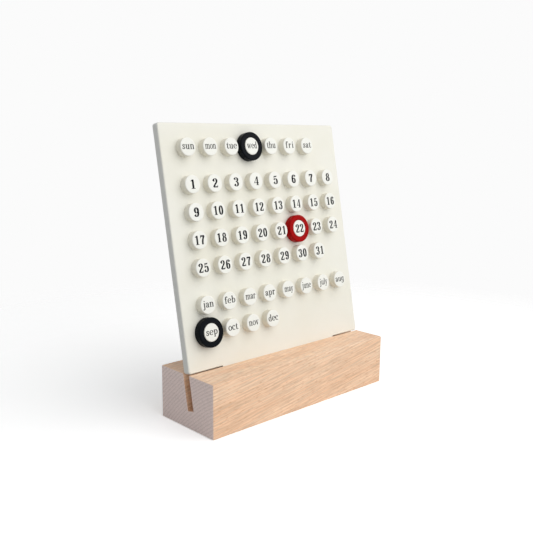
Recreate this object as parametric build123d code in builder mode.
from build123d import *
import os
from math import cos, radians, sin

os.makedirs("parts", exist_ok=True)

# Perpetual desk calendar. A white plate carries one stud for each weekday, date and month,
# and three loose rings are moved from stud to stud to mark today. The plate's tongue drops
# into a slot sawn along a beech block, which leans the plate back and keeps it upright.
#
# Frame: origin at the centre of the block's underside, +X to the reader's right,
# -Y towards the reader, +Z up. All lengths in millimetres, angles in degrees.

# ---- Beech block ----
block_overhang = 0.4  # the block is this much longer than the plate is wide, at each end
block_depth = 50.0
block_height = 33.0
block_edge = 0.5  # sanded break on every outer edge

# ---- Slot sawn along the block ----
lean_angle = 11.0  # the plate's lean from upright
slot_setback = 22.5  # block's front to the plate's front, measured on the block's top
slot_depth = 21.5  # down the lean, below the block's top
slot_play = 0.15  # clearance between the tongue and each slot wall

# ---- Calendar plate ----
side_margin = 16.625  # centre of the first or last column to the plate's edge
plate_height = 148.5  # shoulders to top edge
plate_thickness = 5.3
plate_corner = 1.8
plate_edge = 0.9  # rounding of the front and back edges
shoulder_gap = 0.3  # the shoulders stand this far above the block
tongue_inset = 25.6  # each end of the plate to the tongue
tongue_corner = 3.0  # corner cut at each end of the tongue's foot
foot_lead_in = 0.8  # chamfer that guides the foot into the slot

# ---- Studs ----
stud_radius = 5.6
stud_height = 5.0
stud_rim = 0.35  # bevel round the printed top
spigot_side = 4.0  # square, so that a legend can't turn
spigot_length = 3.2
spigot_play = 0.05  # clearance on each side of a spigot in its socket
socket_relief = 0.3  # a socket is this much deeper than the spigot

# ---- Columns and rows of studs ----
column_count = 8
column_pitch = 16.85
row_pitch = 16.6  # between rows of one group
group_gap = 22.2  # between weekdays, dates and months
lowest_row = 22.7  # lowest row of studs above the block's top

# ---- Marker rings ----
ring_radius = 9.1
ring_play = 0.08  # radial clearance round a stud
ring_rim = 0.6  # rounding of the outer edges
ring_lead_in = 0.25  # chamfer at each end of the bore

# ---- Worked out from the sizes above ----
plate_width = (column_count - 1) * column_pitch + 2 * side_margin
block_length = plate_width + 2 * block_overhang
slot_width = plate_thickness + 2 * slot_play
tongue_width = plate_width - 2 * tongue_inset
socket_side = spigot_side + 2 * spigot_play
ring_thickness = stud_height  # a seated ring lies flush with the printed top

# The plate's front face: local x runs along a row, local y climbs the plate from the
# block's top, and local z points out of the face towards the reader.
plate_front = Plane(
    origin=(0, slot_setback - block_depth / 2, block_height),
    x_dir=(1, 0, 0),
    z_dir=(0, -cos(radians(lean_angle)), sin(radians(lean_angle))),
)
out_of_face = Axis(plate_front.origin, plate_front.z_dir)
up_the_plate = Axis(plate_front.origin, plate_front.y_dir)

# ---- Legends, and the place of the stud that carries each ----
weekdays = ["sun", "mon", "tue", "wed", "thu", "fri", "sat"]
dates = [f"{day:02d}" for day in range(1, 32)]
months = ["jan", "feb", "mar", "apr", "may", "jun", "jul", "aug", "sep", "oct", "nov", "dec"]

# Each row from the lowest up, with its step above the row below it.
rows = [
    (months[column_count:], lowest_row),
    (months[:column_count], row_pitch),
    (dates[3 * column_count :], group_gap),
    (dates[2 * column_count : 3 * column_count], row_pitch),
    (dates[column_count : 2 * column_count], row_pitch),
    (dates[:column_count], row_pitch),
    (weekdays, group_gap),
]
first_column = -(column_count - 1) / 2 * column_pitch
stud_centres = {}
row_height = 0.0
for legends, step in rows:
    row_height += step
    for column, legend in enumerate(legends):
        stud_centres[legend] = (first_column + column * column_pitch, row_height)


def plane_at(legend):
    """The plate's front face, with its origin moved to the stud that carries this legend."""
    along, up = stud_centres[legend]
    centre = plate_front.from_local_coords((along, up, 0))
    return Plane(origin=centre, x_dir=plate_front.x_dir, z_dir=plate_front.z_dir)


# ---- Base block: solid beech with a leaning slot, open at the top and at both ends ----
with BuildPart() as base_block:
    Box(block_length, block_depth, block_height, align=(Align.CENTER, Align.CENTER, Align.MIN))
    fillet(base_block.edges(), block_edge)
    # The saw cut is drawn on its front wall and runs past both ends and the top.
    with BuildSketch(plate_front.offset(slot_play)):
        with Locations((0, -slot_depth)):
            Rectangle(
                block_length + 2 * slot_width,
                slot_depth + 2 * slot_width,
                align=(Align.CENTER, Align.MIN),
            )
    extrude(amount=-slot_width, mode=Mode.SUBTRACT)
base_block.part.label = "base_block"
export_step(base_block.part, "parts/base_block.step")

# ---- Calendar plate: rounded panel, tongue under it, and a square socket for each stud ----
with BuildPart() as calendar_plate:
    with BuildSketch(plate_front):
        with Locations((0, shoulder_gap + plate_height / 2)):
            RectangleRounded(plate_width, plate_height, plate_corner)
    extrude(amount=-plate_thickness)
    fillet(calendar_plate.faces().filter_by(out_of_face).edges(), plate_edge)

    # The tongue starts inside the panel and stands on the slot's floor.
    with BuildSketch(plate_front) as tongue:
        with Locations((0, -slot_depth)):
            Rectangle(
                tongue_width,
                slot_depth + shoulder_gap + plate_corner,
                align=(Align.CENTER, Align.MIN),
            )
        chamfer(tongue.vertices().group_by(Axis.Y)[0], tongue_corner)
    extrude(amount=-plate_thickness)
    foot = calendar_plate.faces().sort_by(up_the_plate)[0]
    chamfer(foot.edges().filter_by(Axis.X), foot_lead_in)

    with BuildSketch(plate_front):
        with Locations(*stud_centres.values()):
            Rectangle(socket_side, socket_side)
    extrude(amount=-(spigot_length + socket_relief), mode=Mode.SUBTRACT)
calendar_plate.part.label = "calendar_plate"
export_step(calendar_plate.part, "parts/calendar_plate.step")

# ---- Studs: a button with a bevelled rim, and a square spigot that plugs into the plate ----
for legend in stud_centres:
    seat = plane_at(legend)
    with BuildPart() as stud:
        with BuildSketch(seat):
            Circle(stud_radius)
        extrude(amount=stud_height)
        chamfer(stud.edges().group_by(out_of_face)[-1], stud_rim)
        with BuildSketch(seat):
            Rectangle(spigot_side, spigot_side)
        extrude(amount=-spigot_length)
    stud.part.label = f"stud_{legend}"
    export_step(stud.part, f"parts/stud_{legend}.step")

# ---- Marker rings: each is slipped over a stud until it meets the plate ----
marked_today = {"day_ring": "wed", "date_ring": "22", "month_ring": "sep"}
for ring_name, legend in marked_today.items():
    with BuildPart() as ring:
        with BuildSketch(plane_at(legend)):
            Circle(ring_radius)
            Circle(stud_radius + ring_play, mode=Mode.SUBTRACT)
        extrude(amount=ring_thickness)
        rims = ring.edges().filter_by(GeomType.CIRCLE).group_by(SortBy.RADIUS)
        fillet(rims[-1], ring_rim)
        chamfer(rims[0], ring_lead_in)
    ring.part.label = ring_name
    export_step(ring.part, f"parts/{ring_name}.step")
